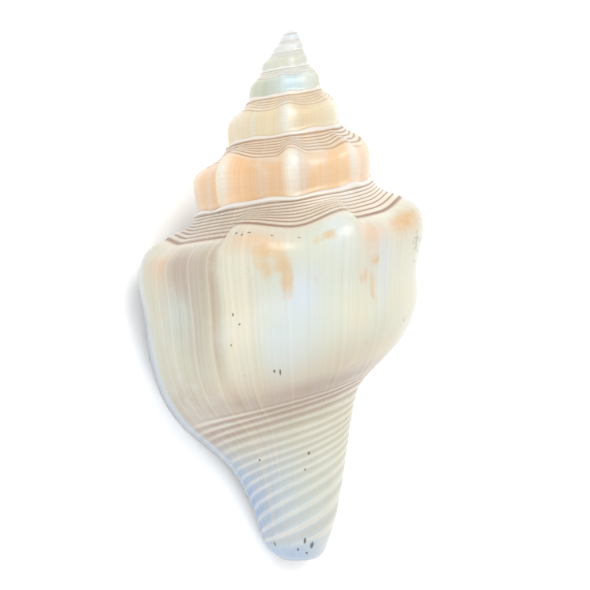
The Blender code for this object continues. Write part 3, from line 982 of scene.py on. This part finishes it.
# %% Growth lines
before_lip = smooth(turn_mark, -0.24, -0.06)    # the lines are stronger in the youngest shell
waver = calc("MULTIPLY", clouds(45, 1.0), 0.9)
fine = streaks_along(turn_mark, 190, 3.0, waver)
patchy = calc("MULTIPLY_ADD", smooth(clouds(38, 2.0), 0.35, 0.62), 1.0, 0.25)
dark_lines = calc("MULTIPLY", smooth(fine, 0.46, 0.72), calc("MULTIPLY_ADD", before_lip, 0.16, 0.08))
colour_now = mix(calc("MULTIPLY", dark_lines, patchy), broad, screen(176, 148, 110))
pale_lines = calc("MULTIPLY", smooth(fine, 0.47, 0.2), calc("MULTIPLY_ADD", before_lip, 0.25, 0.15))
colour_now = mix(pale_lines, colour_now, screen(255, 246, 224))

# %% Broad streaks, mottling and bands
broader = streaks_along(turn_mark, 26, 2.0, waver)
spiral = streaks_along(row_mark, 7.0, 2.0)
mottle = clouds(55, 4.0, 0.6)
colour_now = mix(calc("MULTIPLY", smooth(broader, 0.5, 0.75), 0.26), colour_now, screen(244, 228, 190))
colour_now = mix(calc("MULTIPLY", smooth(broader, 0.48, 0.3), 0.22), colour_now, screen(222, 232, 238))
colour_now = mix(calc("MULTIPLY", smooth(mottle, 0.5, 0.7), 0.35), colour_now, screen(236, 238, 232))
spire_only = calc("MULTIPLY_ADD", smooth(turn_mark, -0.9, -1.1), 0.10, 0.02)
colour_now = mix(calc("MULTIPLY", smooth(spiral, 0.5, 0.7), spire_only), colour_now, screen(214, 184, 150))

# %% Ochre stains
streaks = nodes.new("ShaderNodeCombineXYZ")
feed(streaks.inputs["X"], calc("MULTIPLY", turn_mark, 75))
feed(streaks.inputs["Y"], calc("MULTIPLY", row_mark, 1.6))
streaky = clouds(1.0, 4.0, 0.6, streaks.outputs["Vector"])
ragged = calc("MULTIPLY_ADD", calc("SUBTRACT", streaky, 0.5), 1.3, stain_mark)
ragged = calc("MULTIPLY_ADD", calc("SUBTRACT", clouds(190, 4.0, 0.65), 0.5), 1.2, ragged)
stained = calc("MULTIPLY", smooth(ragged, 0.30, 1.15), smooth(stain_mark, 0.02, 0.3))
colour_now = mix(calc("MULTIPLY", stained, 0.7), colour_now, screen(230, 186, 124))

# %% [markdown]
# Every groove holds a brown line. It is darkest on the ramp of the last whorl, paler on the spire,
# broad and soft on the base, and nearly gone beside the lip. The seam has none: a white cord runs
# along it. Between the grooves the crests of the cords are worn pale.

# %% Where the grooves are
to_groove = calc("PINGPONG", phase_mark, 0.5)
groove_wobble = calc("MULTIPLY", calc("SUBTRACT", clouds(260, 2.0), 0.5), 0.10)
below = smooth(row_mark, 7.0, 8.0)
narrow = smooth(calc("ADD", to_groove, groove_wobble), 0.24, 0.06)
soft = smooth(calc("ADD", to_groove, groove_wobble), 0.42, 0.0)
groove = calc("ADD", calc("MULTIPLY", narrow, calc("SUBTRACT", 1.0, below)), calc("MULTIPLY", soft, below))
present = smooth(strength_mark, 0.05, 0.2)
seam_free = smooth(phase_mark, 0.35, 0.6)
groove = calc("MULTIPLY", calc("MULTIPLY", groove, present), calc("MULTIPLY", seam_free, outer_mark))

# %% Brown lines in them
groove_colour = mix(smooth(row_mark, 9.8, 11.5), screen(158, 114, 86), screen(206, 182, 144))
faded = calc("MULTIPLY_ADD", smooth(clouds(30, 2.0), 0.3, 0.6), 0.35, 0.6)
faded = calc("MULTIPLY", faded, calc("MULTIPLY_ADD", smooth(row_mark, 8.0, 9.0), -0.45, 1.0))
faded = calc("MULTIPLY", faded, calc("MULTIPLY_ADD", smooth(row_mark, 13.5, 10.2), 0.4, 0.6))
spire_fade = calc("MULTIPLY_ADD", smooth(turn_mark, -0.9, -1.1), -0.3, 1.0)
spire_fade = calc("MULTIPLY_ADD", smooth(turn_mark, -1.8, -2.2), -0.3, spire_fade)
lip_fade = calc("MULTIPLY_ADD", calc("MULTIPLY", below, smooth(turn_mark, -0.13, -0.03)), -0.75, 1.0)
groove_amount = calc("MULTIPLY", calc("MULTIPLY", groove, faded), calc("MULTIPLY", spire_fade, lip_fade))
colour_now = mix(groove_amount, colour_now, groove_colour)
print("nodes so far:", len(nodes))

# %% The cords between them
thread = smooth(to_groove, 0.43, 0.5)
thread_amount = calc("MULTIPLY", calc("MULTIPLY", thread, present), calc("MULTIPLY", outer_mark, 0.28))
colour_now = mix(thread_amount, colour_now, groove_colour)
cord_crest = calc("MULTIPLY", smooth(to_groove, 0.25, 0.42), calc("MULTIPLY", present, outer_mark))
cord_crest = calc("MULTIPLY", cord_crest, calc("MULTIPLY_ADD", clouds(60, 2.0), 0.9, 0.1))
colour_now = mix(cord_crest, colour_now, mix(0.7, colour_now, screen(255, 244, 222)))

# %% The edge of the shoulder, with painted shade and a painted highlight, and the seam
on_last = calc("MULTIPLY", smooth(turn_mark, -1.02, -0.98), outer_mark)
# the last groove at the shoulder is darkened further with painted shade, and below it runs a painted
# highlight
shoulder_groove_and_shade = calc("MULTIPLY", smooth(row_mark, 3.02, 3.1), smooth(row_mark, 3.22, 3.12))
shoulder_painted_highlight = calc("MULTIPLY", smooth(row_mark, 3.14, 3.3), smooth(row_mark, 3.8, 3.4))
groove_and_shade_amount = calc("MULTIPLY", shoulder_groove_and_shade, calc("MULTIPLY", on_last, 0.25))
colour_now = mix(groove_and_shade_amount, colour_now, screen(160, 124, 100))
painted_highlight_amount = calc("MULTIPLY", shoulder_painted_highlight, calc("MULTIPLY", on_last, 0.4))
colour_now = mix(painted_highlight_amount, colour_now, screen(250, 236, 214))
seam_white = calc("MULTIPLY", smooth(phase_mark, 0.9, 0.5), calc("MULTIPLY", outer_mark, 0.75))
seam_white = calc("MULTIPLY", seam_white, smooth(phase_mark, 0.02, 0.22))
colour_now = mix(seam_white, colour_now, screen(246, 242, 236))

# %% [markdown]
# Grime gathers where the shell was rubbed least. Pits are holes that small borers left, and the dirt
# in them is dark. There are few, and the eye finds them at once, so each is listed one by one. A pit has a
# size in millimetres, but marks count in turns and rows, so every entry says how many millimetres
# a turn and a row measure at its place.

# %% Grime
grimy = calc("ADD", grime_mark, calc("MULTIPLY", calc("SUBTRACT", clouds(420, 3.0, 0.7), 0.56), 2.6))
grime_amount = calc("MULTIPLY", smooth(grimy, 0.6, 1.05), smooth(grime_mark, 0.05, 0.4))
grime_amount = calc("MULTIPLY", grime_amount, 0.6)
colour_now = mix(grime_amount, colour_now, screen(150, 154, 132))

# %% Pits
# degrees back, row, mm to a turn and to a row there, and the pit's half width and half height in mm
PITS = [(66, 3.95, 215, 5, 0.30, 0.25), (68.5, 4.05, 215, 5, 0.22, 0.3), (71, 3.9, 215, 5, 0.4, 0.2),
        (80, 3.95, 215, 5, 0.25, 0.2), (91, 4.1, 215, 5, 0.3, 0.2), (64.5, 6.2, 215, 11, 0.2, 0.45),
        (67, 6.45, 215, 11, 0.25, 0.25), (63, 6.9, 215, 11, 0.2, 0.3), (82, 7.85, 200, 10, 0.22, 1.1),
        (79.5, 7.78, 200, 10, 0.3, 0.5), (52, 11.7, 95, 6, 0.3, 0.3), (100.7, 12.2, 90, 7, 0.3, 0.35),
        (97, 12.6, 85, 7, 0.2, 0.2), (99, 14.5, 60, 3, 0.35, 0.3), (88, 14.8, 55, 3, 0.25, 0.2),
        (112, 14.7, 55, 3, 0.5, 0.35), (46.6, 14.53, 60, 3, 0.3, 0.3), (104, 15.0, 50, 3, 0.3, 0.2)]
growth_spot = nodes.new("ShaderNodeUVMap")
growth_spot.uv_map = "growth"
crumble = calc("MULTIPLY", calc("SUBTRACT", clouds(1500, 2.0), 0.5), 0.5)
pit = 0.0
for spot_back, spot_row, mm_turn, mm_row, wide, tall in PITS:
    to_spot = nodes.new("ShaderNodeVectorMath")
    to_spot.operation = "MULTIPLY_ADD"
    links.new(growth_spot.outputs["UV"], to_spot.inputs[0])
    to_spot.inputs[1].default_value = (mm_turn / wide, mm_row / tall, 0)
    to_spot.inputs[2].default_value = (spot_back / 360 * mm_turn / wide, -spot_row * mm_row / tall, 0)
    away = nodes.new("ShaderNodeVectorMath")
    away.operation = "LENGTH"
    links.new(to_spot.outputs[0], away.inputs[0])
    pit = calc("MAXIMUM", smooth(calc("ADD", away.outputs["Value"], crumble), 1.3, 0.6), pit)
pit = calc("MULTIPLY", pit, outer_mark)
colour_now = mix(calc("MULTIPLY", pit, 0.8), colour_now, screen(70, 54, 42))
print("pits:", len(PITS))

# %% [markdown]
# A worn shell has a satin polish, not a varnish: soft highlights on the knobs, duller grooves and
# dirt. A little light passes into the wall, which softens every edge. The finest growth lines are
# too small for the mesh, and they are the only relief left to a bump.

# %% Polish
rough = calc("MULTIPLY_ADD", groove, 0.22, calc("MULTIPLY_ADD", mottle, 0.2, 0.2))
rough = calc("MULTIPLY_ADD", grime_amount, 0.3, rough)
feed(surface.inputs["Base Color"], colour_now)
feed(surface.inputs["Roughness"], rough)
surface.inputs["IOR"].default_value = 1.53
surface.inputs["Coat Weight"].default_value = 0.2
surface.inputs["Coat Roughness"].default_value = 0.32
surface.inputs["Subsurface Weight"].default_value = 0.12
surface.inputs["Subsurface Radius"].default_value = (1.0, 0.7, 0.5)
surface.inputs["Subsurface Scale"].default_value = 1.5 * MM

# %% Fine relief
height = calc("MULTIPLY_ADD", fine, 0.5, calc("MULTIPLY", clouds(300, 3.0, 0.6), 0.35))
height = calc("SUBTRACT", height, calc("MULTIPLY", pit, 1.2))
bump = nodes.new("ShaderNodeBump")
bump.inputs["Distance"].default_value = 0.12 * MM
bump.inputs["Strength"].default_value = 0.7
links.new(height, bump.inputs["Height"])
links.new(bump.outputs["Normal"], surface.inputs["Normal"])
mesh.materials.append(skin)
print("nodes in the shell's surface:", len(nodes))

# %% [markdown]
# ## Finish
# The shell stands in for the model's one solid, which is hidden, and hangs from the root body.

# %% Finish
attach(conch, "root")
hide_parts("shell")
